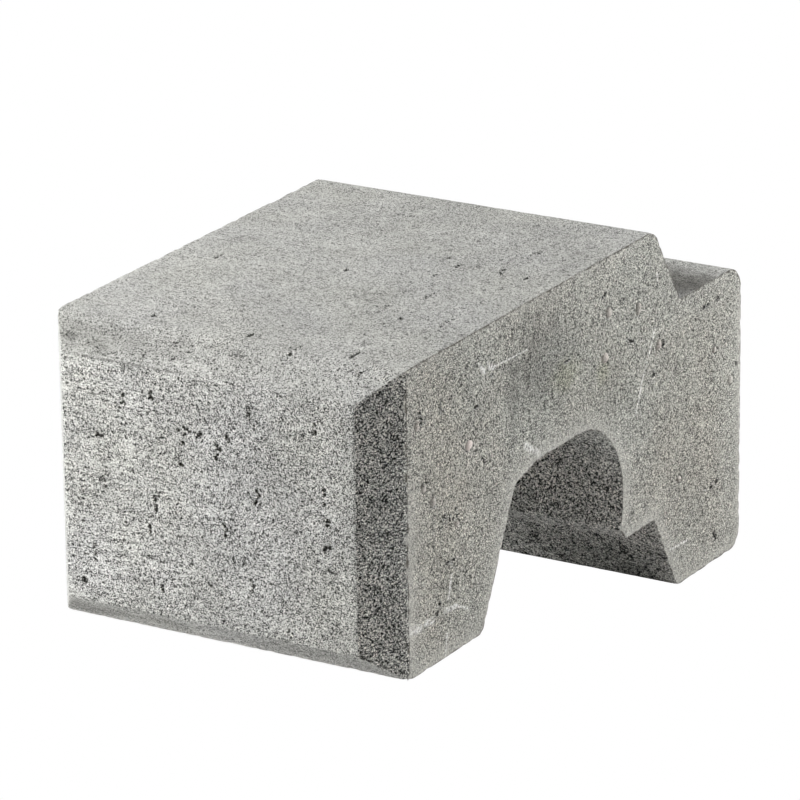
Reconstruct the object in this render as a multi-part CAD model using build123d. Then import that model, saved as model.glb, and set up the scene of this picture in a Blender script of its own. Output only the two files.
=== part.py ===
from build123d import *
import math
import os

# Dry-stack retaining-wall block, cast in one piece from concrete. Millimetres.
#
# The block is one constant outline, drawn in the Y-Z plane and extruded across the block's width along X,
# with a raised and bevelled panel on its front. The outline is worked out with y = 0 on the plane behind the
# front panel and z = 0 under the heel, and the finished block is then moved so that the origin is at the
# centre of its footprint, at the bottom. -Y is the front, +Y the earth side, +Z up.
#
# The ridge behind the top face and the heel under the rear are the two halves of one lock: the heel of a
# block stands on the ledge of the block below, behind that block's ridge.

# ---- driving dimensions ----------------------------------------------------------------------------------
block_width = 250.0         # along X, four blocks to a metre
course_height = 200.0       # from the foot of one block to the foot of the next
body_depth = 440.0          # from the plane behind the panel to the back face
hook_depth = 57.0           # how far the heel hangs below the foot, and the ridge stands above the ledge
setback = 4.0               # how far each course stands behind the course below

# front panel
panel_proud = 27.0          # how far the panel stands forward of the body
panel_side_bevel = 20.0     # the bevel's width at the left and right
panel_top_bevel = 17.0      # the bevel's height along the top
panel_foot_bevel = 22.0     # the bevel's height along the foot
panel_arris = 1.5           # rounding of the panel's own edges

# ridge and rear ledge
crest_y = 316.0             # where the top face would meet the ridge's back
ridge_run = 36.0            # depth taken by the slope from crest to ledge
crest_radius = 16.0
ledge_root_radius = 6.0     # hollow corner where the slope meets the ledge
ledge_end_radius = 18.0     # top corner of the back face

# heel
toe_clearance = 2.0         # gap between the heel's toe and the foot of the ridge below
heel_run = 33.0             # depth taken by the heel's front face, from toe to root
heel_back_radius = 13.0
toe_radius = 9.0
root_radius = 3.0           # hollow corner at the top of the heel's front face

# arch and front leg
barb_depth = 38.0           # flat underside between the heel and the arch
lip_height = 9.0            # flared lip at the arch's rear foot
arch_rise = 92.0            # crown of the arch above the foot
arch_rear_radius = 60.0     # the arch's round rear
arch_rear_gap = 5.0         # from the barb's tip forward to the rearmost point of the arch
haunch_run = 30.0           # depth over which the crown falls towards the front leg
haunch_drop = 7.0           # how far it falls there
haunch_radius = 9.0         # corner between the haunch and the leg's inner face
foot_depth = 90.0           # front leg at its foot
leg_lean = 26.5             # degrees that the leg's inner face leans back from upright
foot_bevel = 3.0            # broken corner at the leg's inner foot

# ---- places worked out from them -------------------------------------------------------------------------
top_z = course_height + hook_depth
ledge_z = course_height
foot_z = hook_depth
crown_z = foot_z + arch_rise

ridge_foot_y = crest_y + ridge_run
toe_y = ridge_foot_y + toe_clearance - setback
root_y = toe_y - heel_run
barb_tip_y = root_y - barb_depth
arch_rear_y = barb_tip_y - arch_rear_gap


def rounded(outline, place, radius):
    """Round the outline's corner at the place (y, z)."""
    y, z = place
    corner = outline.vertices().sort_by_distance(Vector(0, y, z))[0]
    return fillet(corner, radius)


def plate(*points):
    """A flat face in the Y-Z plane from its (y, z) corners."""
    return Plane.YZ * make_face(Polyline(*points, close=True))


def across_width(outline, width=block_width):
    """Extrude an outline evenly to both sides of the middle plane."""
    return extrude(outline, amount=width / 2, dir=(1, 0, 0), both=True)


def body_outline():
    """The outline without the arch: foot, top face, ridge, ledge, back and heel."""
    crest = (crest_y, top_z)
    ridge_foot = (ridge_foot_y, ledge_z)
    back_top = (body_depth, ledge_z)
    back_bottom = (body_depth, 0)
    toe = (toe_y, 0)
    root = (root_y, foot_z)
    outline = plate((0, foot_z), (0, top_z), crest, ridge_foot, back_top, back_bottom, toe, root)
    outline = rounded(outline, crest, crest_radius)
    outline = rounded(outline, ridge_foot, ledge_root_radius)
    outline = rounded(outline, back_top, ledge_end_radius)
    outline = rounded(outline, back_bottom, heel_back_radius)
    outline = rounded(outline, toe, toe_radius)
    return rounded(outline, root, root_radius)


def arch_outline():
    """The tunnel: all that lies behind the leg and under the haunch, and also in front of the round rear."""
    lean = math.tan(math.radians(leg_lean))
    foot = (foot_depth - foot_bevel, foot_z)
    leg_foot = (foot_depth + foot_bevel * lean, foot_z + foot_bevel)
    haunch_rise = arch_rise - haunch_drop
    haunch = (foot_depth + haunch_rise * lean, foot_z + haunch_rise)
    haunch_slope = haunch_drop / haunch_run
    haunch_line_end = (body_depth, haunch[1] + haunch_slope * (body_depth - haunch[0]))
    behind_leg = plate(foot, leg_foot, haunch, haunch_line_end, (body_depth, foot_z))

    round_y = arch_rear_y - arch_rear_radius
    round_z = crown_z - arch_rear_radius
    lip_z = foot_z + lip_height
    lip_angle = math.degrees(math.asin((lip_z - round_z) / arch_rear_radius))
    lip_y = round_y + arch_rear_radius * math.cos(math.radians(lip_angle))
    underside_and_crown = Polyline((barb_tip_y, foot_z), (0, foot_z), (0, crown_z), (round_y, crown_z))
    rear = CenterArc((round_y, round_z), arch_rear_radius, 90, lip_angle - 90)
    lip = Line((lip_y, lip_z), (barb_tip_y, foot_z))
    before_rear = Plane.YZ * make_face([underside_and_crown, rear, lip])

    return rounded(behind_leg & before_rear, haunch, haunch_radius)


def front_panel():
    """The raised panel: an upright and a level prism, whose common part is bevelled on all four sides."""
    upright = across_width(plate(
        (0, foot_z),
        (0, top_z),
        (-panel_proud, top_z - panel_top_bevel),
        (-panel_proud, foot_z + panel_foot_bevel),
    ))
    half = block_width / 2
    half_panel = half - panel_side_bevel
    plan = make_face(Polyline(
        (-half, 0),
        (half, 0),
        (half_panel, -panel_proud),
        (-half_panel, -panel_proud),
        close=True,
    ))
    level = Pos(0, 0, foot_z) * extrude(plan, amount=top_z - foot_z)
    panel = upright & level
    face = panel.faces().sort_by(Axis.Y)[0]
    return fillet(face.edges(), panel_arris)


def wall_block():
    """The whole casting, with the origin at the centre of its footprint."""
    through = block_width + 2
    body = across_width(body_outline()) - across_width(arch_outline(), through)
    block = body + front_panel()
    footprint_middle_y = (body_depth - panel_proud) / 2
    return Pos(0, -footprint_middle_y, 0) * block


os.makedirs("parts", exist_ok=True)
block = wall_block()
export_step(block, "parts/wall_block.step")
print("wall_block", round(block.volume / 1e6, 3), "litres")
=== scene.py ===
import math
import random

import bmesh
import bpy
import numpy as np
from mathutils import Matrix, Quaternion, Vector, noise
from mathutils.bvhtree import BVHTree
from mathutils.kdtree import KDTree


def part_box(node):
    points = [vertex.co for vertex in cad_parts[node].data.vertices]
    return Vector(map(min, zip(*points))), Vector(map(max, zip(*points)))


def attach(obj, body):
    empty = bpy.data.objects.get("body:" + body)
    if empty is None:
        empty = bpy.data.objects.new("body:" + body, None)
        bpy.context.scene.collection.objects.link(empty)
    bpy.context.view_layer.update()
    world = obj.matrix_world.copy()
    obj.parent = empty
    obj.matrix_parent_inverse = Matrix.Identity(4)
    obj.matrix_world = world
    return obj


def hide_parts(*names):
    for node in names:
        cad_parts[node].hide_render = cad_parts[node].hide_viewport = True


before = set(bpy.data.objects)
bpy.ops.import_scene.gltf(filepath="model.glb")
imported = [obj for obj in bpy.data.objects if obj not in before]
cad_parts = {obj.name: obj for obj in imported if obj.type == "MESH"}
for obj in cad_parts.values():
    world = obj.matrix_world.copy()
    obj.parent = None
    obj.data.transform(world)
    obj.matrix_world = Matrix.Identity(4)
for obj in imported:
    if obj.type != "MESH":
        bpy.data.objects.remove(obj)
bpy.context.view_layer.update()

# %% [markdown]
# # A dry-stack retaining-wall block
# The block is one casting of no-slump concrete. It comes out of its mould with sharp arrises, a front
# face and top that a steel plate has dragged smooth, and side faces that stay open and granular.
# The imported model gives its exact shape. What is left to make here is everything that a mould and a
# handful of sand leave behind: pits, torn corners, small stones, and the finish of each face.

MM = 0.001
cad_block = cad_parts["wall_block"]
low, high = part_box("wall_block")
print("block", [round(v / MM) for v in high - low], "mm")

# %% [markdown]
# ## Where things are
# The block's front is at -Y, and its panel stands proud of the body. Marks on a face are easier to
# place from that body plane, so a small function turns "so far behind the body plane, so high" into
# the frame's own coordinates.

# %% Places on the block
PANEL_PROUD = 27 * MM
body_front = low.y + PANEL_PROUD
course_top = high.z
right_face = high.x


def on_side(behind, up):
    """A point on the right side, from millimetres behind the body plane and above the heel's foot."""
    return Vector((right_face, body_front + behind * MM, up * MM))


def on_top(across, behind):
    """A point on the top face, from millimetres right of the middle and behind the body plane."""
    return Vector((across * MM, body_front + behind * MM, course_top))


def on_panel(across, up):
    """A point on the front panel, from millimetres right of the middle and above the heel's foot."""
    return Vector((across * MM, low.y, up * MM))


print("body plane at", round(body_front / MM), "mm, top at", round(course_top / MM), "mm")

# %% [markdown]
# ## An even mesh to work on
# The CAD mesh has a few long triangles on each flat face, and nothing can be pressed into a triangle
# that has no points inside it. A Remesh modifier in its sharp mode lays an even grid over the whole
# casting and still keeps every arris. It works on a merged copy, because the CAD node is left alone.

# %% Remesh a copy of the casting
# the grid's cube has 2 to this power cells along a side, and the casting's depth fills this share
GRID_DEPTH = 8
GRID_SCALE = 0.62
MERGE_GAP = 0.001 * MM


def merged_copy(source, name):
    """A new object with the source's mesh, its doubles merged."""
    mesh = source.data.copy()
    shape = bmesh.new()
    shape.from_mesh(mesh)
    bmesh.ops.remove_doubles(shape, verts=shape.verts, dist=MERGE_GAP)
    shape.to_mesh(mesh)
    shape.free()
    mesh.materials.clear()
    piece = bpy.data.objects.new(name, mesh)
    bpy.context.scene.collection.objects.link(piece)
    return piece


def apply_modifiers(piece):
    """Replace the piece's mesh with what its modifiers make of it."""
    depsgraph = bpy.context.evaluated_depsgraph_get()
    made = bpy.data.meshes.new_from_object(piece.evaluated_get(depsgraph))
    piece.modifiers.clear()
    piece.data = made


block = merged_copy(cad_block, "cast_block")
grid = block.modifiers.new("even_grid", "REMESH")
grid.mode = "SHARP"
grid.octree_depth = GRID_DEPTH
grid.scale = GRID_SCALE
grid.use_remove_disconnected = False
apply_modifiers(block)
print("even grid", len(block.data.polygons), "faces")

# %% [markdown]
# ## Where the arrises are
# Most of what happens to a concrete block happens along its arrises. They are read from the CAD mesh:
# every edge where the shape turns outwards by more than a shallow angle is part of one.

# %% Find the arrises
ARRIS_ANGLE = math.radians(24)


def find_arrises(source):
    """Start and end points of every sharp outer edge, as two arrays."""
    shape = bmesh.new()
    shape.from_mesh(source.data)
    bmesh.ops.remove_doubles(shape, verts=shape.verts, dist=MERGE_GAP)
    sharp = [e for e in shape.edges if e.calc_face_angle_signed() > ARRIS_ANGLE]
    starts = np.array([e.verts[0].co for e in sharp])
    ends = np.array([e.verts[1].co for e in sharp])
    shape.free()
    return starts, ends


def distance_to_segments(points, starts, ends):
    """For each point, the distance to the nearest of the segments."""
    nearest = np.full(len(points), 1.0)
    for start, end in zip(starts, ends):
        along = end - start
        share = np.clip((points - start) @ along / (along @ along), 0, 1)
        gap = np.linalg.norm(points - start - share[:, None] * along, axis=1)
        nearest = np.minimum(nearest, gap)
    return nearest


arris_starts, arris_ends = find_arrises(cad_block)
print("arrises", len(arris_starts), "segments")

# %% [markdown]
# ## Pits
# A no-slump mix is tamped, not poured, so air stays between the stones. It shows as pits: large ones
# whose places are chosen, and many small ones that a seeded random choice scatters. Each is a place,
# a width, a length along a direction, and a depth. One large smooth dent would look like the mark of
# a thumb, so a large pit only says where a nest of small ones goes, and how far it spreads.

# %% Large pits, listed
ACROSS = Vector((1, 0, 0))
BACK = Vector((0, 1, 0))
UP = Vector((0, 0, 1))

# place, width mm, length mm, depth mm, direction of the length
LARGE_PITS = [
    (on_top(66, 127), 4, 17, 3.2, BACK),
    (on_top(-7, 150), 4, 8, 2.4, BACK),
    (on_top(38, 203), 7, 11, 2.0, BACK),
    (on_top(51, 192), 6, 12, 2.0, BACK),
    (on_top(80, 193), 5, 9, 2.4, BACK),
    (on_top(82, 236), 4, 14, 2.0, BACK),
    (on_top(101, 190), 4, 8, 2.0, BACK),
    (on_top(-93, 140), 4, 10, 2.0, BACK),
    (on_top(54, 97), 4, 12, 1.8, BACK),
    (on_top(100, 90), 8, 14, 2.0, BACK),
    (on_top(73, 83), 4, 6, 2.0, BACK),
    (on_top(68, 70), 4, 8, 1.8, BACK),
    (on_top(-63, 16), 5, 8, 2.2, BACK),
    (on_top(8, 13), 4, 8, 2.0, BACK),
    (on_top(45, 4), 5, 14, 2.8, BACK),
    (on_top(83, 12), 5, 12, 2.6, BACK),
    (on_top(48, 168), 4, 8, 1.8, BACK),
    (on_panel(6, 193), 7, 9, 3.0, UP),
    (on_panel(35, 171), 8, 8, 3.0, UP),
    (on_panel(-20, 181), 9, 8, 2.4, ACROSS),
    (on_panel(-17, 203), 8, 12, 2.0, UP),
    (on_panel(-7, 203), 5, 8, 2.0, UP),
    (on_panel(15, 205), 4, 6, 2.2, UP),
    (on_panel(30, 220), 14, 14, 2.2, UP),
    (on_panel(77, 218), 6, 9, 3.0, UP),
    (on_panel(83, 180), 5, 10, 2.2, UP),
    (on_panel(85, 162), 6, 7, 2.2, UP),
    (on_panel(84, 145), 6, 9, 2.4, UP),
    (on_panel(-40, 224), 4, 6, 2.4, UP),
    (on_panel(-60, 214), 8, 9, 1.6, UP),
    (on_panel(-80, 190), 8, 10, 1.8, ACROSS),
    (on_panel(-76, 160), 6, 7, 1.8, UP),
    (on_panel(-38, 153), 6, 16, 2.0, UP),
    (on_panel(-43, 134), 5, 9, 1.8, UP),
    (on_panel(12, 145), 3, 12, 2.0, UP),
    (on_panel(-84, 114), 5, 9, 2.0, UP),
    (on_panel(-35, 98), 4, 8, 1.8, UP),
    (on_panel(31, 110), 7, 8, 2.0, UP),
    (on_panel(-92, 90), 8, 8, 2.2, UP),
    (on_side(17, 221), 8, 10, 2.0, UP),
    (on_side(40, 222), 7, 9, 1.6, UP),
    (on_side(83, 208), 3, 6, 2.2, BACK),
    (on_side(93, 171), 2.5, 7, 2.2, Vector((0, 0.6, -0.8))),
    (on_side(50, 147), 12, 20, 1.6, BACK),
    (on_side(52, 118), 4, 14, 1.6, BACK),
    (on_side(35, 90), 7, 10, 3.2, Vector((0, 0.6, 0.8))),
    (on_side(248, 232), 5, 17, 3.0, Vector((0, 0.8, 0.6))),
    (on_side(200, 203), 4, 12, 1.6, BACK),
    (on_side(285, 190), 5, 14, 2.0, Vector((0, 0.8, -0.6))),
    (on_side(328, 176), 6, 8, 2.6, UP),
    (on_side(316, 160), 4, 6, 2.0, UP),
    (on_side(390, 184), 3, 5, 2.4, BACK),
    (on_side(407, 184), 3, 5, 2.4, BACK),
    (on_side(403, 56), 7, 18, 1.8, BACK),
    (on_side(405, 17), 6, 8, 2.6, BACK),
]

print("large pits", len(LARGE_PITS))

# %% [markdown]
# The panel's right bevel and its foot bevel meet along a mitre. The mould tore the paste there when
# it came off, and four corners lost a few millimetres. The groove is three long pits in a row, each
# shallower than the one before.

# %% The mitre groove and the lost corners
FOOT = 57 * MM
FOOT_BEVEL = 22 * MM
SIDE_BEVEL = 20 * MM
mitre_start = Vector((high.x - SIDE_BEVEL, low.y, low.z + FOOT + FOOT_BEVEL))
foot_corner_right = Vector((high.x, body_front, low.z + FOOT))
foot_corner_left = Vector((low.x, body_front, low.z + FOOT))
mitre = foot_corner_right - mitre_start

# place, width mm, length mm, depth mm, direction of the length
MITRE_GROOVE = [
    (mitre_start.lerp(foot_corner_right, 0.10), 3.4, 8, 2.0, mitre),
    (mitre_start.lerp(foot_corner_right, 0.24), 2.8, 9, 1.6, mitre),
    (mitre_start.lerp(foot_corner_right, 0.42), 2.4, 8, 1.1, mitre),
]

# place, reach mm, depth mm
LOST_CORNERS = [
    (foot_corner_right, 6, 1.3),
    (foot_corner_left, 4, 1.0),
    (Vector((low.x, body_front, course_top)), 5, 1.2),
    (on_side(0, (course_top - low.z) / MM), 4, 1.0),
]
print("mitre", round(mitre.length / MM), "mm long")

# %% [markdown]
# A few larger stones of the mix lie in the right side face. Each sits in a shallow moat, where the
# paste has shrunk away from it, so the stones are listed here, before the pits are pressed in.

# %% Stones in the right side
# how much longer and higher than its stone a moat is, and how deep, in mm
MOAT_MARGIN = 3.2
MOAT_DEPTH = 1.1

# (behind, up) on the side face, length mm, height mm, turn in degrees
STONES = [
    ((75, 186), 8.0, 6.5, 10),
    ((255, 219), 8.0, 7.5, 0),
    ((250, 190), 8.0, 7.0, 20),
    ((295, 210), 9.0, 6.0, 80),
    ((323, 177), 8.0, 6.0, 50),
    ((425, 122), 7.0, 6.0, 10),
    ((13, 217), 6.0, 5.0, 100),
    ((20, 176), 7.0, 4.5, 75),
    ((31, 163), 6.5, 6.0, 0),
    ((402, 150), 5.0, 4.0, 30),
    ((352, 75), 6.0, 4.5, 140),
    ((60, 140), 5.0, 4.0, 10),
]


def moat(spot, length, height, turn):
    """The shallow pit in which a stone sits."""
    tilt = math.radians(turn)
    direction = Vector((0, math.cos(tilt), math.sin(tilt)))
    return (on_side(*spot), height + MOAT_MARGIN, length + MOAT_MARGIN, MOAT_DEPTH, direction)


moats = [moat(*stone) for stone in STONES]
print("moats", len(moats))

# %% [markdown]
# Now the small pits, both those of the nests and those that lie anywhere. The random choice is seeded,
# so the block comes out the same each time.

# %% Small pits
random.seed(7)
SMALL_PITS = 220
SMALLEST_WIDTH, WIDTH_RANGE = 1.8, 1.6
DEPTH_SHARE = 0.35
# a nest has this many pits and one more for each so many square millimetres of the large pit
FEWEST_IN_NEST = 3
AREA_FOR_ONE = 20
NEST_SPREAD = 0.28
NEST_WIDTHS = (1.7, 2.9)


def scattered_pits(piece, count):
    """Small pits at random faces of the piece, with random sizes; most are small."""
    faces = piece.data.polygons
    pits = []
    for _ in range(count):
        face = faces[random.randrange(len(faces))]
        width = SMALLEST_WIDTH + WIDTH_RANGE * random.random() ** 3
        length = width * random.uniform(1.0, 1.9)
        direction = Vector(random.uniform(-1, 1) for _ in range(3))
        pits.append((face.center.copy(), width, length, DEPTH_SHARE * width, direction))
    return pits


def broken_up(pit):
    """A placed pit is a nest of small ragged ones, strung out along its length."""
    place, width, length, deep, direction = pit
    along = direction.normalized()
    aside = Vector(random.uniform(-1, 1) for _ in range(3))
    aside = (aside - aside.dot(along) * along).normalized()
    nest = []
    for _ in range(FEWEST_IN_NEST + round(width * length / AREA_FOR_ONE)):
        step = random.gauss(0, NEST_SPREAD) * length * MM
        side_step = random.gauss(0, NEST_SPREAD) * width * MM
        small_width = random.uniform(*NEST_WIDTHS)
        small_length = small_width * random.uniform(1.0, 1.8)
        small_deep = deep * random.uniform(0.5, 0.9)
        turned = (along + 1.6 * random.uniform(-1, 1) * aside).normalized()
        small_place = place + along * step + aside * side_step
        nest.append((small_place, small_width, small_length, small_deep, turned))
    return nest


nests = [small for pit in LARGE_PITS for small in broken_up(pit)]
placed_pits = moats + MITRE_GROOVE + nests
small_pits = scattered_pits(block, SMALL_PITS)
pits = placed_pits + small_pits
print("pits", len(pits))

# %% [markdown]
# ## Finer mesh where it is needed
# The grid is too coarse for an arris that has lost half a millimetre, and for a pit two or three wide.
# Only the faces near them are subdivided, and those at the chosen pits twice, so the piece stays light.

# %% Subdivide near arrises and pits
ARRIS_BAND = 3.2 * MM
PIT_MARGIN = 1.2


def refine(piece, chosen_faces):
    """Subdivide the chosen faces once; the faces around them are joined on with triangles."""
    shape = bmesh.new()
    shape.from_mesh(piece.data)
    shape.faces.ensure_lookup_table()
    edges = {edge for index in chosen_faces for edge in shape.faces[index].edges}
    bmesh.ops.subdivide_edges(shape, edges=list(edges), cuts=1, use_grid_fill=True)
    bmesh.ops.triangulate(shape, faces=[f for f in shape.faces if len(f.verts) > 4])
    shape.to_mesh(piece.data)
    shape.free()


def faces_near_arrises(piece, band):
    """The faces whose middles lie within the band along the arrises."""
    centres = np.array([face.center for face in piece.data.polygons])
    gaps = distance_to_segments(centres, arris_starts, arris_ends)
    return set(np.nonzero(gaps < band)[0].tolist())


def faces_near_pits(piece, pit_list):
    """The faces in and just round the listed pits."""
    tree = KDTree(len(piece.data.polygons))
    for index, face in enumerate(piece.data.polygons):
        tree.insert(face.center, index)
    tree.balance()
    found = set()
    for place, width, length, _, _ in pit_list:
        reach = (0.5 * max(width, length) + PIT_MARGIN) * MM
        found.update(index for _, index, _ in tree.find_range(place, reach))
    return found


refine(block, faces_near_arrises(block, ARRIS_BAND) | faces_near_pits(block, pits))
refine(block, faces_near_pits(block, placed_pits))
print("refined", sum(len(face.vertices) - 2 for face in block.data.polygons), "triangles")

# %% [markdown]
# ## Press the wear into the surface
# Every point is moved along its own normal by an amount that adds up: a slow waviness, lumps and grit
# of a few millimetres, the pits, and the loss at arrises and corners. At an arris the normal points
# out between the two faces, so moving in along it takes the edge off, as handling does. The depths
# come first, as arrays, because one sum for all points is much quicker than a loop over them.

# %% Noises for the surface
WAVE_SIZE, WAVE_DEPTH = 55 * MM, 0.15 * MM
LUMP_SIZE, LUMP_DEPTH = 9 * MM, 0.12 * MM
GRIT_SIZE, GRIT_DEPTH = 3.2 * MM, 0.14 * MM


def soft_step(value, start, end):
    """0 before start, 1 after end, and smooth between them, for an array."""
    share = np.clip((value - start) / (end - start), 0, 1)
    return share * share * (3 - 2 * share)


def noise_field(points, size, seed):
    """Smooth noise from -1 to 1 at each point, with lumps of the given size."""
    shift = Vector((seed * 17.3, seed * 5.7, seed * 11.1))
    return np.array([noise.noise(Vector(point) / size + shift) for point in points])


# %% How deep the pits are at each point
PIT_EDGE_SIZE, PIT_EDGE_WANDER = 2.5 * MM, 0.35
# a pit has its full depth up to the first share of its reach, and none past the second
PIT_FLAT, PIT_RIM = 0.35, 1.15
SAME_FACE = 0.8


def pit_depths(points, normals, pit_list):
    """How far each point goes in for the pits, in metres. Where pits overlap, the deepest counts."""
    tree = KDTree(len(points))
    for index, point in enumerate(points):
        tree.insert(point, index)
    tree.balance()
    depth = np.zeros(len(points))
    for place, width, length, deep, direction in pit_list:
        found = tree.find_range(place, 0.75 * length * MM)
        if not found:
            continue
        indices = np.array([index for _, index, _ in found])
        nearest = min(found, key=lambda entry: entry[2])[1]
        face_normal = normals[nearest]
        facing = normals[indices] @ face_normal > SAME_FACE
        offset = points[indices] - np.array(place)
        along = np.array(direction) - (np.array(direction) @ face_normal) * face_normal
        along /= np.linalg.norm(along) + 1e-9
        across = np.cross(face_normal, along)
        reach_along = (offset @ along) / (0.5 * length * MM)
        reach_across = (offset @ across) / (0.5 * width * MM)
        reach = np.sqrt(reach_along ** 2 + reach_across ** 2)
        ragged = reach + PIT_EDGE_WANDER * noise_field(points[indices], PIT_EDGE_SIZE, 3)
        amount = (1 - soft_step(ragged, PIT_FLAT, PIT_RIM)) * deep * MM * facing
        depth[indices] = np.maximum(depth[indices], amount)
    return depth


# %% Move the surface
ARRIS_LOSS, ARRIS_REACH = 0.3 * MM, 2.6 * MM
NIBBLE_SIZE, NIBBLE_DEPTH = 7 * MM, 0.5 * MM


def vertex_arrays(piece):
    """The points and the normals of the piece's vertices, as arrays."""
    count = len(piece.data.vertices)
    points = np.zeros(count * 3)
    normals = np.zeros(count * 3)
    piece.data.vertices.foreach_get("co", points)
    piece.data.vertex_normals.foreach_get("vector", normals)
    return points.reshape(-1, 3), normals.reshape(-1, 3)


points, normals = vertex_arrays(block)
arris_gap = distance_to_segments(points, arris_starts, arris_ends)
wave = noise_field(points, WAVE_SIZE, 1) * WAVE_DEPTH
lump = noise_field(points, LUMP_SIZE, 2) * LUMP_DEPTH
grit = noise_field(points, GRIT_SIZE, 4) * GRIT_DEPTH
near_arris = 1 - soft_step(arris_gap, 0, ARRIS_REACH)
nibble = soft_step(noise_field(points, NIBBLE_SIZE, 5), 0.0, 0.6) * NIBBLE_DEPTH
pit = pit_depths(points, normals, pits)
corner_loss = np.zeros(len(points))
for corner, reach, deep in LOST_CORNERS:
    gap = np.linalg.norm(points - np.array(corner), axis=1)
    corner_loss = np.maximum(corner_loss, (1 - soft_step(gap, 0, reach * MM)) * deep * MM)
inward = pit + near_arris * (ARRIS_LOSS + nibble) + corner_loss
outward = np.minimum(wave + lump + grit, 0) - inward
moved = points + normals * outward[:, None]
moved = np.clip(moved, np.array(low), np.array(high))
block.data.vertices.foreach_set("co", moved.ravel())
block.data.update()
for face in block.data.polygons:
    face.use_smooth = True
print("surface moved in by up to", round(float(inward.max() / MM), 2), "mm")

# %% [markdown]
# A finish can only be worn at its arrises and painted dark in its pits, as their shade, if it knows
# where they are. So the distance to the arrises and the depth of the pits stay on the mesh, as numbers
# that a material can read. The rim is weaker high up, where the arrises are rubbed less pale.

# %% Keep the arrises and pits for the finishes
ARRIS_FADE, RIM_FADE = 7 * MM, 8 * MM
RIM_HIGH_FROM, RIM_HIGH_TO = 165 * MM, 195 * MM
FULL_PIT = 1.1 * MM


def store(piece, name, values):
    """Keep one number for each vertex, for a material to read."""
    attribute = piece.data.attributes.new(name, "FLOAT", "POINT")
    attribute.data.foreach_set("value", values.astype(np.float32))


high_up = soft_step(points[:, 2], RIM_HIGH_FROM, RIM_HIGH_TO)
store(block, "arris", np.exp(-arris_gap / ARRIS_FADE))
store(block, "rim", np.exp(-arris_gap / RIM_FADE) * (1 - 0.75 * high_up))
store(block, "pit", np.clip(pit / FULL_PIT, 0, 1))
print("points in a pit", int((pit > 0).sum()))

# %% [markdown]
# ## Building blocks for the finishes
# A node tree is easier to read as text when each node takes one line, so one helper makes a node,
# sets it up and links what it is given. The others rest on it and do one sum or one noise each.

# %% Helpers for node trees
def put(tree, kind, inputs=None, **settings):
    """Add a node. An input that is another node's socket is linked, and any other is a fixed value."""
    made = tree.nodes.new(kind)
    for name, value in settings.items():
        setattr(made, name, value)
    for socket, value in (inputs or {}).items():
        if isinstance(value, bpy.types.NodeSocket):
            tree.links.new(value, made.inputs[socket])
        else:
            made.inputs[socket].default_value = value
    return made


def maths(tree, operation, first, second=0.0, clamp=False):
    """One sum of two numbers."""
    made = put(tree, "ShaderNodeMath", {0: first, 1: second}, operation=operation, use_clamp=clamp)
    return made.outputs[0]


def vector_maths(tree, operation, first, second):
    """One sum of two vectors. To scale a vector, the second is a plain number."""
    socket = "Scale" if operation == "SCALE" else 1
    made = put(tree, "ShaderNodeVectorMath", {0: first, socket: second}, operation=operation)
    return made.outputs["Value" if operation == "DOT_PRODUCT" else "Vector"]


def length_of(tree, vector):
    """How long a vector is."""
    return put(tree, "ShaderNodeVectorMath", {0: vector}, operation="LENGTH").outputs["Value"]


def blend(tree, factor, first, second, mode="MIX"):
    """Mix two colours."""
    inputs = {0: factor, 6: first, 7: second}
    return put(tree, "ShaderNodeMix", inputs, data_type="RGBA", blend_type=mode).outputs[2]


def spread(tree, value, start, end, low_out=0.0, high_out=1.0):
    """Stretch a value from one range to another, and stop at its ends."""
    made = put(tree, "ShaderNodeMapRange", {0: value, 1: start, 2: end, 3: low_out, 4: high_out})
    return made.outputs[0]


def noise_value(tree, place, scale, detail):
    """A noise from 0 to 1. The scale is how many of its lumps there are to a metre."""
    made = put(tree, "ShaderNodeTexNoise", {"Vector": place, "Scale": scale, "Detail": detail})
    return made.outputs[0]


def warped(tree, place, scale, detail, reach):
    """The place, pushed about by a noise, so that what is laid out on it gets ragged edges."""
    push = put(tree, "ShaderNodeTexNoise", {"Vector": place, "Scale": scale, "Detail": detail})
    return vector_maths(tree, "ADD", place, vector_maths(tree, "SCALE", push.outputs["Color"], reach))


# %% [markdown]
# An effect that several finishes share goes into a node group, so that it is built once and each
# finish gives it its own values. A group needs its sockets named and typed before it can be wired.

# %% Helpers for node groups
NUMBER = "NodeSocketFloat"
COLOUR = "NodeSocketColor"
PLACE = "NodeSocketVector"


def new_group(name, inputs, outputs):
    """An empty node group with its sockets, and its input and output nodes."""
    tree = bpy.data.node_groups.new(name, "ShaderNodeTree")
    for socket, (kind, value) in inputs.items():
        made = tree.interface.new_socket(socket, in_out="INPUT", socket_type=kind)
        if value is not None:
            made.default_value = value
    for socket, kind in outputs.items():
        tree.interface.new_socket(socket, in_out="OUTPUT", socket_type=kind)
    entry = tree.nodes.new("NodeGroupInput").outputs
    leave = tree.nodes.new("NodeGroupOutput").inputs
    return tree, entry, leave


def use_group(tree, group, inputs):
    """Place a group in a tree, and hand back its outputs."""
    return put(tree, "ShaderNodeGroup", inputs, node_tree=group).outputs
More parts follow.
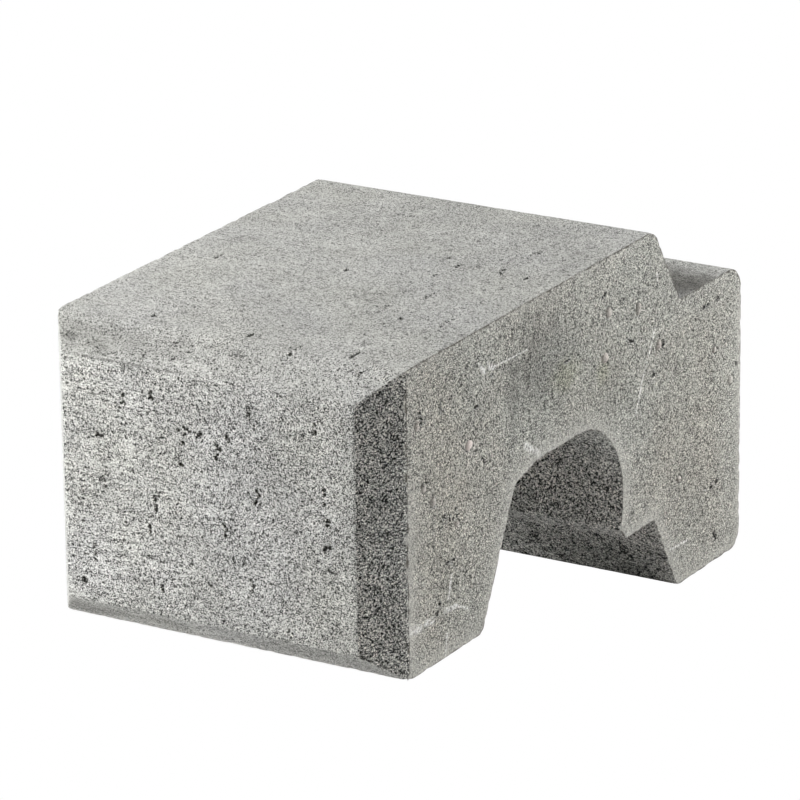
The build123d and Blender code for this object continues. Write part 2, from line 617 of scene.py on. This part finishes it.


# %% [markdown]
# ## Sand
# Seen close, the surface is sand grains in grey paste, and here and there a grain has come away and
# left a tiny hole. A Voronoi texture gives each grain its own cell and its own random numbers. The
# same numbers make the colour and the height, so that what is deep is also painted dark, as the
# shade that falls in a hole.

# %% The grain group
def grain_group():
    """Paste is 1 on sound paste and 0 where a grain is lost, and Sand is each grain's own lightness."""
    tree, entry, leave = new_group(
        "sand_grain",
        {
            "Place": (PLACE, None),
            "Grain size": (NUMBER, 1.0),
            "Openness": (NUMBER, 0.25),
            "Cluster": (NUMBER, 1.0),
        },
        {"Paste": NUMBER, "Sand": NUMBER, "Height": NUMBER},
    )
    place = entry["Place"]
    per_metre = maths(tree, "DIVIDE", 1000.0, entry["Grain size"])
    ragged = warped(tree, place, per_metre, 0.0, 0.5 * MM)
    cells = put(tree, "ShaderNodeTexVoronoi", {"Vector": ragged, "Scale": per_metre})
    chance = put(tree, "ShaderNodeSeparateColor", {0: cells.outputs["Color"]})
    coarse = noise_value(tree, place, maths(tree, "MULTIPLY", per_metre, 0.22), 2.0)
    gathered = maths(tree, "MULTIPLY", maths(tree, "SUBTRACT", coarse, 0.5), entry["Cluster"])
    level = maths(tree, "ADD", chance.outputs[0], gathered)
    level = maths(tree, "SUBTRACT", level, entry["Openness"])
    paste = spread(tree, level, -0.08, 0.14)
    sand = spread(tree, chance.outputs[1], 0.0, 1.0, -1.0, 1.0)
    dome = maths(tree, "MULTIPLY", cells.outputs["Distance"], -0.6)
    tree.links.new(paste, leave["Paste"])
    tree.links.new(sand, leave["Sand"])
    tree.links.new(maths(tree, "ADD", paste, dome), leave["Height"])
    return tree


grain = grain_group()
print("grain group", len(grain.nodes), "nodes")

# %% [markdown]
# ## Pores
# In size between the lost grains and the pits, there are pores about a millimetre across, too many
# and too small to press into the mesh. They are a second, wider Voronoi: a cell's random number says
# whether it holds a pore and how large, and a warp of the place makes the pore ragged. Inside a pore
# the colour is painted nearly black, as the shade that falls in it.

# %% The pore group
PORE_SPACING = 2.4


def pore_group():
    """1 inside an open pore and 0 outside. One pore at most lies in each cell of the spacing, in mm."""
    tree, entry, leave = new_group(
        "open_pores",
        {"Place": (PLACE, None), "Spacing": (NUMBER, PORE_SPACING), "Share": (NUMBER, 0.3)},
        {"Pore": NUMBER},
    )
    ragged = warped(tree, entry["Place"], 800.0, 1.0, 1.5 * MM)
    per_metre = maths(tree, "DIVIDE", 1000.0, entry["Spacing"])
    cells = put(tree, "ShaderNodeTexVoronoi", {"Vector": ragged, "Scale": per_metre})
    chance = put(tree, "ShaderNodeSeparateColor", {0: cells.outputs["Color"]})
    size = maths(tree, "SUBTRACT", entry["Share"], chance.outputs[2])
    reach = spread(tree, size, 0.0, 0.3, 0.0, 0.36)
    inside = maths(tree, "SUBTRACT", reach, cells.outputs["Distance"])
    tree.links.new(spread(tree, inside, -0.02, 0.06), leave["Pore"])
    return tree


pores = pore_group()
print("pore group", len(pores.nodes), "nodes")

# %% [markdown]
# ## Clouds
# No two buckets of the mix are quite alike, so the grey drifts over the block and some patches stay
# more open than others. Three slow noises from one group say where, for every finish alike.

# %% The cloud group
def cloud_group():
    """Slow light and dark patches, a slow drift between two tints, and rare nests of open grain."""
    tree, entry, leave = new_group(
        "cast_clouds",
        {"Place": (PLACE, None), "Patch size": (NUMBER, 30.0)},
        {"Patch": NUMBER, "Tint": NUMBER, "Nest": NUMBER},
    )
    per_metre = maths(tree, "DIVIDE", 1000.0, entry["Patch size"])
    patch = noise_value(tree, entry["Place"], per_metre, 3.0)
    moved = vector_maths(tree, "ADD", entry["Place"], (3.1, 1.7, 0.9))
    tint = noise_value(tree, moved, maths(tree, "MULTIPLY", per_metre, 0.5), 2.0)
    nest = noise_value(tree, moved, maths(tree, "MULTIPLY", per_metre, 4.5), 1.5)
    tree.links.new(spread(tree, patch, 0.3, 0.7, -1.0, 1.0), leave["Patch"])
    tree.links.new(spread(tree, tint, 0.35, 0.65), leave["Tint"])
    tree.links.new(spread(tree, nest, 0.61, 0.72), leave["Nest"])
    return tree


clouds = cloud_group()
print("cloud group", len(clouds.nodes), "nodes")

# %% [markdown]
# ## Lines left by the plate
# The steel plate that draws the face drags single grains along and leaves fine level lines, where it
# pressed hard. A noise that is stretched along X gives them. The group also says how hard the plate
# pressed: hardest at the block's left, where the face is closed and light.

# %% The drawn-plate group
LINE_STRETCH = (0.055, 1, 1)
PRESSED_FROM, PRESSED_TO = 80 * MM, -80 * MM


def plate_group():
    """Line is the light and dark of the dragged grains, and Pressed how hard the plate bore down."""
    tree, entry, leave = new_group(
        "drawn_plate",
        {"Place": (PLACE, None), "Line size": (NUMBER, 1.3), "Patch": (NUMBER, 0.0)},
        {"Line": NUMBER, "Pressed": NUMBER},
    )
    stretched = vector_maths(tree, "MULTIPLY", entry["Place"], LINE_STRETCH)
    per_metre = maths(tree, "DIVIDE", 1000.0, entry["Line size"])
    line = noise_value(tree, stretched, per_metre, 1.0)
    across = put(tree, "ShaderNodeSeparateXYZ", {0: entry["Place"]}).outputs[0]
    left_share = spread(tree, across, PRESSED_FROM, PRESSED_TO)
    wander = maths(tree, "MULTIPLY", entry["Patch"], 0.45)
    pressed = maths(tree, "ADD", left_share, wander, clamp=True)
    tree.links.new(spread(tree, line, 0.35, 0.65, -1.0, 1.0), leave["Line"])
    tree.links.new(pressed, leave["Pressed"])
    return tree


plate = plate_group()
print("plate group", len(plate.nodes), "nodes")

# %% [markdown]
# ## Wear and pit shade
# The pits are painted dark, as the shade that falls in them, arrises are rubbed pale, and where the
# mould tore the side's edge there is a thin dark line. All three follow the shape, so they read the
# numbers that were kept on the mesh when it was pressed, and break them up with a noise.

# %% The wear group
RUBBED = (0.62, 0.61, 0.57, 1)
# painted shade: the colour at the floor of a deep pit
PAINTED_PIT_SHADE = (0.03, 0.03, 0.025, 1)
TORN_EDGE = (0.09, 0.08, 0.065, 1)


def wear_and_pit_shade_group():
    """Rubs the arrises lighter, paints shade into the pits, and draws the torn line right at an arris.
    """
    tree, entry, leave = new_group(
        "arris_wear_and_pit_shade",
        {
            "Colour": (COLOUR, None),
            "Rub": (NUMBER, 0.2),
            "Torn": (NUMBER, 0.0),
            "Pit shade": (NUMBER, 0.5),
        },
        {"Colour": COLOUR},
    )
    place = put(tree, "ShaderNodeTexCoord").outputs["Object"]
    arris = put(tree, "ShaderNodeAttribute", attribute_name="arris").outputs["Fac"]
    pit_mask = put(tree, "ShaderNodeAttribute", attribute_name="pit").outputs["Fac"]
    rim = put(tree, "ShaderNodeAttribute", attribute_name="rim").outputs["Fac"]
    rubbed = blend(tree, maths(tree, "MULTIPLY", rim, entry["Rub"]), entry["Colour"], RUBBED)
    crumbs = spread(tree, noise_value(tree, place, 900.0, 2.0), 0.35, 0.65, -0.45, 0.45)
    hollow = spread(tree, maths(tree, "ADD", pit_mask, crumbs), 0.42, 0.75)
    hollow = maths(tree, "MULTIPLY", hollow, spread(tree, pit_mask, 0.02, 0.3))
    # painted shade: the pits are darkened towards near black, the deeper the darker
    dark = blend(tree, maths(tree, "MULTIPLY", hollow, entry["Pit shade"]), rubbed, PAINTED_PIT_SHADE)
    wander = maths(tree, "SUBTRACT", noise_value(tree, place, 260.0, 3.0), 0.5)
    at_arris = maths(tree, "ADD", arris, maths(tree, "MULTIPLY", wander, 0.7))
    torn = maths(tree, "MULTIPLY", spread(tree, at_arris, 0.86, 1.0), entry["Torn"])
    tree.links.new(blend(tree, torn, dark, TORN_EDGE), leave["Colour"])
    return tree


wear_and_pit_shade = wear_and_pit_shade_group()
print("wear group", len(wear_and_pit_shade.nodes), "nodes")

# %% [markdown]
# ## Marks that have a place
# A scuff is a chalky line where another block or a pallet has rubbed, and a soft patch tints the
# colour inside a soft edge; it serves for stains and for painted shade alike, such as the ridge's
# shadow on the ledge. Both are small groups that measure how far a point is from the mark, so a mark
# needs nothing but where it lies and how far it reaches.

# %% Scuff and stain groups
def scuff_group():
    """1 on the straight line from Start to End and 0 away from it, broken up by a noise."""
    tree, entry, leave = new_group(
        "chalk_scuff",
        {"Place": (PLACE, None), "Start": (PLACE, None), "End": (PLACE, None), "Width": (NUMBER, 1.0)},
        {"Mask": NUMBER},
    )
    from_start = vector_maths(tree, "SUBTRACT", entry["Place"], entry["Start"])
    along = vector_maths(tree, "SUBTRACT", entry["End"], entry["Start"])
    reach = vector_maths(tree, "DOT_PRODUCT", from_start, along)
    whole = vector_maths(tree, "DOT_PRODUCT", along, along)
    share = maths(tree, "DIVIDE", reach, whole, clamp=True)
    on_line = vector_maths(tree, "SCALE", along, share)
    gap = length_of(tree, vector_maths(tree, "SUBTRACT", from_start, on_line))
    half_width = maths(tree, "MULTIPLY", entry["Width"], 0.5 * MM)
    core = spread(tree, maths(tree, "DIVIDE", gap, half_width), 1.0, 0.3)
    broken = spread(tree, noise_value(tree, entry["Place"], 520.0, 2.0), 0.40, 0.58)
    tree.links.new(maths(tree, "MULTIPLY", core, broken), leave["Mask"])
    return tree


def stain_and_shade_group():
    """1 at the centre and 0 beyond the reach along each axis, with a wavy edge."""
    tree, entry, leave = new_group(
        "soft_stain_and_shade",
        {"Place": (PLACE, None), "Centre": (PLACE, None), "Reach": (PLACE, (0.02, 0.02, 0.02))},
        {"Mask": NUMBER},
    )
    offset = vector_maths(tree, "SUBTRACT", entry["Place"], entry["Centre"])
    gap = length_of(tree, vector_maths(tree, "DIVIDE", offset, entry["Reach"]))
    wave = maths(tree, "SUBTRACT", noise_value(tree, entry["Place"], 70.0, 3.0), 0.5)
    wavy = maths(tree, "ADD", gap, maths(tree, "MULTIPLY", wave, 0.9))
    tree.links.new(spread(tree, wavy, 1.05, 0.35), leave["Mask"])
    return tree


scuff = scuff_group()
stain_and_shade = stain_and_shade_group()


def scuff_mask(tree, place, start, end, width):
    """Where a scuff from start to end lies, its width in mm."""
    inputs = {"Place": place, "Start": start, "End": end, "Width": width}
    return use_group(tree, scuff, inputs)["Mask"]


def stain_and_shade_mask(tree, place, centre, reach):
    """Where a soft patch lies, its reach along X, Y and Z in mm; it serves stains and painted shade
    alike.
    """
    inputs = {"Place": place, "Centre": centre, "Reach": [length * MM for length in reach]}
    return use_group(tree, stain_and_shade, inputs)["Mask"]


print("scuff and stain groups", len(scuff.nodes), "and", len(stain_and_shade.nodes), "nodes")

# %% [markdown]
# ## The finishes
# All faces share one paste and one sand. They differ in how much grain shows, how many pores are
# open, and whether a plate was drawn across them. So one function builds every finish, from a look
# that holds those differences, and the relief comes from the same masks as the colour.

# %% One function for every finish
PATCH_SIZE = 34.0
LINE_SIZE = 1.3
# painted shade: the colour at the bottom of an open pore
PORE_SHADE = (0.04, 0.04, 0.035, 1)


def concrete(name, look, marks=None):
    """A cast finish. Marks is a function that lays a face's own marks over the colour."""
    material = bpy.data.materials.new(name)
    material.use_nodes = True
    tree = material.node_tree
    tree.nodes.clear()
    place = put(tree, "ShaderNodeTexCoord").outputs["Object"]
    cloud = use_group(tree, clouds, {"Place": place, "Patch size": PATCH_SIZE})
    lines = use_group(tree, plate, {"Place": place, "Line size": LINE_SIZE, "Patch": cloud["Patch"]})
    pressed = maths(tree, "MULTIPLY", lines["Pressed"], look["drawn"])
    line = maths(tree, "MULTIPLY", lines["Line"], pressed)
    unpressed = maths(tree, "SUBTRACT", 1.0, maths(tree, "MULTIPLY", pressed, 0.8))
    nest = maths(tree, "MULTIPLY", cloud["Nest"], unpressed)

    openness = maths(tree, "MULTIPLY", nest, look["nests"])
    openness = maths(tree, "ADD", openness, look["openness"])
    openness = maths(tree, "SUBTRACT", openness, maths(tree, "MULTIPLY", pressed, 0.05))
    openness = maths(tree, "ADD", openness, maths(tree, "MULTIPLY", line, 0.15))
    sand = use_group(tree, grain, {
        "Place": place,
        "Grain size": look["grain"],
        "Openness": openness,
        "Cluster": look["cluster"],
    })
    share = maths(tree, "ADD", maths(tree, "MULTIPLY", nest, look["pores"]), look["pores"])
    pore = use_group(tree, pores, {"Place": place, "Spacing": PORE_SPACING, "Share": share})["Pore"]

    stops = maths(tree, "MULTIPLY", sand["Sand"], look["sand"])
    stops = maths(tree, "ADD", stops, maths(tree, "MULTIPLY", cloud["Patch"], look["patches"]))
    # painted shade: where a grain is lost, the colour drops to the hole's lightness, as the shade in
    # the hole
    lightness = spread(tree, sand["Paste"], 0.0, 1.0, look["hole"], 1.0)
    lightness = maths(tree, "MULTIPLY", lightness, maths(tree, "POWER", 2.0, stops))
    shade = put(tree, "ShaderNodeCombineColor", {0: lightness, 1: lightness, 2: lightness}).outputs[0]
    paste = blend(tree, cloud["Tint"], look["tone"], look["warm"])
    colour = blend(tree, 1.0, paste, shade, "MULTIPLY")
    # painted shade: open pores are darkened nearly to black
    colour = blend(tree, maths(tree, "MULTIPLY", pore, 0.9), colour, PORE_SHADE)
    if marks:
        colour = marks(tree, place, colour)
    worn_and_shaded = use_group(tree, wear_and_pit_shade, {
        "Colour": colour,
        "Rub": look["rub"],
        "Torn": look["torn"],
        "Pit shade": 0.95,
    })

    height = maths(tree, "MULTIPLY", sand["Height"], spread(tree, pressed, 0.0, 1.0, 1.0, 0.55))
    height = maths(tree, "SUBTRACT", height, pore)
    relief = look["relief"] * MM
    bump = put(tree, "ShaderNodeBump", {"Height": height, "Strength": 1.0, "Distance": relief})
    shader = put(tree, "ShaderNodeBsdfPrincipled", {
        "Base Color": worn_and_shaded["Colour"],
        "Roughness": 0.92,
        "Normal": bump.outputs[0],
        "Specular IOR Level": 0.25,
    })
    put(tree, "ShaderNodeOutputMaterial", {"Surface": shader.outputs[0]})
    return material


# %% [markdown]
# ## Marks on the right side
# Handling has left broken chalky lines on the side, and some patches of it are darker and others
# warmer. A tint that is multiplied keeps the grain under a patch, while chalk covers it, so scuffs come
# last.

# %% Scuffs and stains
# start, end, width mm, all as (behind, up) on the right side face
SCUFFS = [
    ((87, 235), (90, 233), 2.6),
    ((90, 231), (95, 228), 5.0),
    ((98, 233), (101, 229), 2.6),
    ((101, 229), (106, 227), 5.0),
    ((105, 227.5), (148, 226), 1.8),
    ((145, 164), (154, 158), 7.0),
    ((158, 157), (163, 152), 5.0),
    ((317, 190), (310, 176), 2.8),
    ((310, 176), (300, 160), 1.8),
    ((300, 160), (295, 147), 2.6),
    ((295, 147), (290, 138), 2.2),
    ((52.5, 109), (48, 95), 3.2),
    ((46, 72), (44, 59), 3.2),
    ((0, 89), (13, 87), 8.0),
    ((20, 88), (29, 87), 6.0),
    ((44, 88), (57, 87), 5.0),
    ((57, 87), (73, 80), 2.6),
    ((320, 227), (320, 222), 2.4),
    ((340, 29), (365, 28), 2.6),
]
CHALK = (0.88, 0.88, 0.86, 1)

# centre, reach (both behind and up in mm), colour, strength; each goes this deep into the side, in mm
PATCH_THROUGH = 50
SIDE_PATCHES = [
    ((166, 214), (52, 50), (0.62, 0.62, 0.62, 1), 0.75),
    ((129, 196), (9, 36), (0.55, 0.55, 0.55, 1), 0.6),
    ((245, 160), (60, 45), (0.80, 0.80, 0.78, 1), 0.5),
    ((35, 150), (48, 120), (1.025, 0.985, 0.955, 1), 0.7),
    ((370, 110), (80, 110), (0.94, 0.915, 0.895, 1), 0.7),
    ((197, 195), (22, 12), (0.97, 0.98, 0.86, 1), 0.8),
    ((246, 182), (12, 10), (0.97, 0.98, 0.86, 1), 0.7),
]

# %% Side marks
def side_marks(tree, place, colour):
    """Tinted and darker patches, then chalky scuffs over them."""
    for (behind, up), (reach_back, reach_up), tint, strength in SIDE_PATCHES:
        mask = stain_and_shade_mask(tree, place, on_side(behind, up), (PATCH_THROUGH, reach_back, reach_up))
        colour = blend(tree, maths(tree, "MULTIPLY", mask, strength), colour, tint, "MULTIPLY")
    for start, end, width in SCUFFS:
        mask = scuff_mask(tree, place, on_side(*start), on_side(*end), width)
        colour = blend(tree, mask, colour, CHALK)
    return colour


print("side marks", len(SCUFFS), "scuffs and", len(SIDE_PATCHES), "stains")

# %% [markdown]
# ## Marks on the drawn faces
# The left ends of the panel's top and foot bevels are darkened, as painted shade. A dark seam lies
# near the panel's upper edge, and the ledge behind the ridge is darkened by a painted shadow of the
# ridge.

# %% Plate marks
BEVEL_END_SHADE = (0.72, 0.72, 0.71, 1)
SEAM_SHADE = (0.16, 0.16, 0.15, 1)
LEDGE_SHADOW_COLOUR = (0.36, 0.35, 0.33, 1)
top_bevel_end = Vector((low.x + 20 * MM, low.y + 12 * MM, high.z - 7 * MM))
foot_bevel_end = on_panel(-105, 68) + 12 * MM * BACK
seam_left, seam_right = on_panel(-104, 240), on_panel(-12, 240)
ledge_shadow_centre = on_top(0, 383) - 62 * MM * UP


def drawn_marks(tree, place, colour):
    """Painted shade on two bevel ends and a painted shadow on the ledge, and the dark seam of the
    panel.
    """
    # painted shade: the left ends of the top and foot bevels are darkened
    end_shade = stain_and_shade_mask(tree, place, top_bevel_end, (130, 22, 12))
    colour = blend(tree, end_shade, colour, BEVEL_END_SHADE, "MULTIPLY")
    end_shade = stain_and_shade_mask(tree, place, foot_bevel_end, (90, 20, 12.5))
    colour = blend(tree, end_shade, colour, BEVEL_END_SHADE, "MULTIPLY")
    seam = scuff_mask(tree, place, seam_left, seam_right, 3.0)
    colour = blend(tree, maths(tree, "MULTIPLY", seam, 0.75), colour, SEAM_SHADE)
    # painted shadow: the ledge is darkened near the foot of the ridge, where the ridge shades it
    ledge_shadow = stain_and_shade_mask(tree, place, ledge_shadow_centre, (500, 34, 34))
    return blend(tree, maths(tree, "MULTIPLY", ledge_shadow, 0.9), colour, LEDGE_SHADOW_COLOUR, "MULTIPLY")


# %% [markdown]
# ## One look for each finish
# The front is drawn smooth and light at its left, the top is greyer and tighter, the sides are open,
# the right bevel is coarse and the left one nearly closed, and the tunnel has been left as it fell.
# The right bevel and the tunnel lie in shade, so their paste is painted lighter than the rest.
#
# - tone and warm: the two tints that the paste drifts between
# - grain: the size of the sand in mm, and sand: how far grains differ, in powers of two
# - openness: the share of grains that are lost, more of them in nests, and gathered by cluster
# - hole: how light the floor of a lost grain is painted, as shade, and pores: the share of cells that
#   hold a pore
# - drawn: how much of the plate shows, and patches: how strong the slow light and dark patches are
# - relief: the height of the grain in mm, rub: how pale the arrises are, torn: how dark their line is

# %% The looks
SHARED_LOOK = {"hole": 0.0, "cluster": 0.2, "torn": 0.0}
drawn_look = dict(
    SHARED_LOOK, tone=(0.54, 0.54, 0.52, 1), warm=(0.53, 0.53, 0.493, 1), grain=0.5, sand=0.60,
    openness=0.35, nests=0.25, pores=0.34, drawn=1.0, patches=0.10, relief=0.9, rub=0.25)
top_look = dict(
    SHARED_LOOK, tone=(0.46, 0.46, 0.44, 1), warm=(0.45, 0.45, 0.42, 1), grain=0.5, sand=0.50,
    openness=0.225, nests=0.25, pores=0.24, drawn=0.6, patches=0.08, relief=0.6, rub=0.2)
open_look = dict(
    SHARED_LOOK, tone=(0.555, 0.558, 0.507, 1), warm=(0.56, 0.551, 0.496, 1), grain=0.58, sand=0.75,
    openness=0.36, nests=0.15, pores=0.38, drawn=0.0, patches=0.10, relief=1.1, rub=0.6, torn=0.9)
# painted light: this paste is lighter than the rest because the right bevel lies in shade
bevel_look = dict(
    SHARED_LOOK, tone=(0.70, 0.70, 0.66, 1), warm=(0.70, 0.69, 0.64, 1), grain=0.6, sand=0.8,
    openness=0.45, nests=0.2, pores=0.40, drawn=0.0, patches=0.08, relief=1.3, rub=0.05)
margin_look = dict(
    SHARED_LOOK, tone=(0.46, 0.46, 0.45, 1), warm=(0.45, 0.45, 0.43, 1), grain=0.5, sand=0.25,
    openness=0.17, nests=0.1, pores=0.02, drawn=0.8, patches=0.03, relief=0.4, rub=0.1, hole=0.1)
# painted light: this paste is lighter than the rest because the tunnel lies in shade
core_look = dict(
    SHARED_LOOK, tone=(0.66, 0.66, 0.62, 1), warm=(0.66, 0.64, 0.60, 1), grain=0.7, sand=0.8,
    openness=0.39, nests=0.4, pores=0.38, drawn=0.0, patches=0.14, relief=1.3, rub=0.1, cluster=0.25)

# %% Make the finishes
drawn_finish = concrete("drawn_concrete", drawn_look, drawn_marks)
open_finish = concrete("open_concrete", open_look, side_marks)
core_finish = concrete("tunnel_concrete", core_look)
bevel_finish = concrete("bevel_concrete", bevel_look)
top_finish = concrete("top_concrete", top_look, drawn_marks)
margin_finish = concrete("margin_concrete", margin_look)
print("open side finish", len(open_finish.node_tree.nodes), "nodes")

# %% [markdown]
# ## Which face gets which finish
# The casting is one mesh, so each face is told its finish by the way it looks and where it lies. That
# follows the shape by itself, and needs no painting or picking by hand.

# %% Give each face of the block its finish
DRAWN, OPEN, CORE, BEVEL, TOP, MARGIN = range(6)
FLAT_ON = 0.9
SLANTED = 0.3
LEVEL = 0.75
# the core lies behind the panel, in front of the back face and below the ledge
core_front = body_front + 3 * MM
core_back = high.y - 4 * MM
core_top = 190 * MM


def finish_of(face):
    """Sides are open, the panel's side bevels coarse at the right and smooth at the left, the tunnel
    and the underside are core, level faces are top, and the rest was drawn."""
    if abs(face.normal.x) > FLAT_ON:
        return OPEN
    behind_panel = face.center.y > core_front
    if behind_panel and face.center.z < core_top and face.center.y < core_back:
        return CORE
    if not behind_panel and SLANTED < face.normal.x < FLAT_ON:
        return BEVEL
    if not behind_panel and -FLAT_ON < face.normal.x < -SLANTED:
        return MARGIN
    if face.normal.z > LEVEL:
        return TOP
    return DRAWN


for material in (drawn_finish, open_finish, core_finish, bevel_finish, top_finish, margin_finish):
    block.data.materials.append(material)
for face in block.data.polygons:
    face.material_index = finish_of(face)
chosen = [face.material_index for face in block.data.polygons]
for index, material in enumerate(block.data.materials):
    print(material.name, chosen.count(index), "faces")

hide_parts("wall_block")
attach(block, "root")

# %% [markdown]
# ## Pebbles
# A few larger stones of the mix were cut through or pushed out at the side face. Each is an
# icosphere, squashed and made uneven, that is sunk in the face for more than half its thickness. The
# listed ones get some more faces, and tiny ones with few faces are scattered between them.

# %% One embedded pebble
# the share of a pebble's thickness that stands proud of the face
PEBBLE_PROUD = 0.28
FLATNESS = 0.7
UNEVEN = 0.22


def add_pebble(shape, place, length, height, turn, seed, detail):
    """One uneven flattened stone whose middle lies below the face, so only its top shows."""
    made = bmesh.ops.create_icosphere(shape, subdivisions=detail, radius=0.5)
    thickness = FLATNESS * min(length, height)
    size = Matrix.Diagonal(Vector((thickness, length, height)) * MM).to_4x4()
    sunk = Vector(((PEBBLE_PROUD - 0.5) * thickness * MM, 0, 0))
    placed = Matrix.Translation(place + sunk) @ Matrix.Rotation(math.radians(turn), 4, "X") @ size
    for vertex in made["verts"]:
        bulge = 1 + UNEVEN * noise.noise(vertex.co * 2.6 + Vector((seed * 3.1, 0, 0)))
        vertex.co = vertex.co * bulge
    bmesh.ops.transform(shape, matrix=placed, verts=made["verts"])


# %% All the pebbles of the right side
# how many spots are tried, as some of them fall on the tunnel and get no pebble
TINY_PEBBLES = 60
# how finely the icosphere of each kind is divided
ROUND, TINY = 2, 1

pebble_shape = bmesh.new()
for seed, (spot, length, height, turn) in enumerate(STONES):
    add_pebble(pebble_shape, on_side(*spot), length, height, turn, seed, ROUND)
block_surface = BVHTree.FromObject(block, bpy.context.evaluated_depsgraph_get())
for seed in range(TINY_PEBBLES):
    spot = (random.uniform(6, 430), random.uniform(8, 250))
    size = random.uniform(2.0, 4.0)
    nearest, normal, _, gap = block_surface.find_nearest(on_side(*spot))
    if gap < 1 * MM and normal.x > 0.8:
        turn = random.uniform(0, 180)
        add_pebble(pebble_shape, on_side(*spot), size, size * 0.8, turn, seed + 20, TINY)
pebble_mesh = bpy.data.meshes.new("side_pebbles")
pebble_shape.to_mesh(pebble_mesh)
pebble_shape.free()
for face in pebble_mesh.polygons:
    face.use_smooth = True
pebbles = bpy.data.objects.new("side_pebbles", pebble_mesh)
bpy.context.scene.collection.objects.link(pebbles)
print("pebbles", len(pebbles.data.polygons), "faces")

# %% The pebbles' finish
PALE_STONE = (0.66, 0.59, 0.55, 1)
pebble_look = dict(
    SHARED_LOOK, tone=(0.50, 0.48, 0.44, 1), warm=(0.51, 0.465, 0.425, 1), grain=0.5, sand=0.3,
    openness=0.08, nests=0.1, pores=0.0, drawn=0.0, patches=0.25, relief=0.3, rub=0.0, hole=0.1,
    cluster=0.4)


def pale_stone(tree, place, colour):
    """The first stone of the list, which shows most, is pale and a little pink."""
    first_spot = STONES[0][0]
    mask = stain_and_shade_mask(tree, place, on_side(*first_spot), (10, 10, 10))
    return blend(tree, mask, colour, PALE_STONE)


pebbles.data.materials.append(concrete("pebble_stone", pebble_look, pale_stone))
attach(pebbles, "root")

# %% [markdown]
# ## Studio
# The block stands on a pale floor in a white surround. Only the camera sees them pure white: light
# that falls on the block comes from a duller floor and a weak fill, so that its shades stay deep.

# %% Floor
FLOOR_SIZE = 6.0
WHITE = (1, 1, 1, 1)

floor_shape = bmesh.new()
bmesh.ops.create_grid(floor_shape, x_segments=1, y_segments=1, size=FLOOR_SIZE)
floor_mesh = bpy.data.meshes.new("floor")
floor_shape.to_mesh(floor_mesh)
floor_shape.free()
floor = bpy.data.objects.new("floor", floor_mesh)
bpy.context.scene.collection.objects.link(floor)
floor_material = bpy.data.materials.new("pale_floor")
floor_material.use_nodes = True
floor_tree = floor_material.node_tree
floor_tree.nodes.clear()
dull_floor = put(floor_tree, "ShaderNodeBsdfDiffuse", {"Color": (0.8, 0.8, 0.8, 1)}).outputs[0]
white_floor = put(floor_tree, "ShaderNodeEmission", {"Color": WHITE, "Strength": 1.0}).outputs[0]
seen = put(floor_tree, "ShaderNodeLightPath").outputs["Is Camera Ray"]
floor_mix = put(floor_tree, "ShaderNodeMixShader", {0: seen, 1: dull_floor, 2: white_floor}).outputs[0]
put(floor_tree, "ShaderNodeOutputMaterial", {"Surface": floor_mix})
floor.data.materials.append(floor_material)

# %% Surround
FILL = 0.25

world = bpy.data.worlds.new("white_surround")
bpy.context.scene.world = world
world.use_nodes = True
world_tree = world.node_tree
world_tree.nodes.clear()
soft_fill = put(world_tree, "ShaderNodeBackground", {"Color": WHITE, "Strength": FILL}).outputs[0]
plain_white = put(world_tree, "ShaderNodeBackground", {"Color": WHITE, "Strength": 1.0}).outputs[0]
seen = put(world_tree, "ShaderNodeLightPath").outputs["Is Camera Ray"]
world_mix = put(world_tree, "ShaderNodeMixShader", {0: seen, 1: soft_fill, 2: plain_white}).outputs[0]
put(world_tree, "ShaderNodeOutputWorld", {"Surface": world_mix})
bpy.context.scene.view_settings.view_transform = "Standard"

# %% [markdown]
# ## Light
# One soft box at the front left lights the panel, and a low one at the rear right rakes across the
# side. The panel's right bevel faces between them and stays dark. A weak one above lifts the top.

# %% Soft boxes
middle = (low + high) / 2


def towards(azimuth, elevation):
    """A direction away from the block, in degrees. Azimuth 0 is in front, and 90 is on the right."""
    turn = math.radians(azimuth)
    rise = math.radians(elevation)
    return Vector((math.sin(turn) * math.cos(rise), -math.cos(turn) * math.cos(rise), math.sin(rise)))


def soft_box(name, direction, distance, size, power):
    """A square area light that faces the block."""
    light = bpy.data.lights.new(name, "AREA")
    light.shape = "SQUARE"
    light.size = size
    light.energy = power
    lamp = bpy.data.objects.new(name, light)
    lamp.location = middle + direction * distance
    lamp.rotation_mode = "QUATERNION"
    lamp.rotation_quaternion = (-direction).to_track_quat("-Z", "Y")
    bpy.context.scene.collection.objects.link(lamp)
    print(name, round((lamp.location - middle).length, 2), "m away")


soft_box("left_soft_box", towards(-46, 32), distance=2.0, size=0.6, power=57)
soft_box("right_soft_box", towards(141, 14), distance=2.0, size=0.6, power=42)
soft_box("top_soft_box", towards(0, 85), distance=2.0, size=1.0, power=12)

# %% [markdown]
# ## Camera
# A long lens from far away keeps the block's level edges nearly parallel. It looks from the front
# right and a little above, and is rolled by less than a degree.

# %% Camera
CAMERA_AZIMUTH, CAMERA_ELEVATION, CAMERA_ROLL = 30.69, 19.29, -0.69
CAMERA_DISTANCE = 3.5226
CAMERA_LENS = 245.5
FARTHEST = 20
aim = middle + Vector((-5.5, 6.0, 22.8)) * MM

camera = bpy.data.objects.new("camera", bpy.data.cameras.new("camera"))
bpy.context.scene.collection.objects.link(camera)
bpy.context.scene.camera = camera
view_direction = towards(CAMERA_AZIMUTH, CAMERA_ELEVATION)
camera.data.lens = CAMERA_LENS
camera.data.clip_end = FARTHEST
camera.location = aim + view_direction * CAMERA_DISTANCE
camera.rotation_mode = "QUATERNION"
roll = Quaternion((0, 0, 1), math.radians(CAMERA_ROLL))
camera.rotation_quaternion = (-view_direction).to_track_quat("-Z", "Y") @ roll
print("camera", round(CAMERA_DISTANCE, 2), "m from its aim")
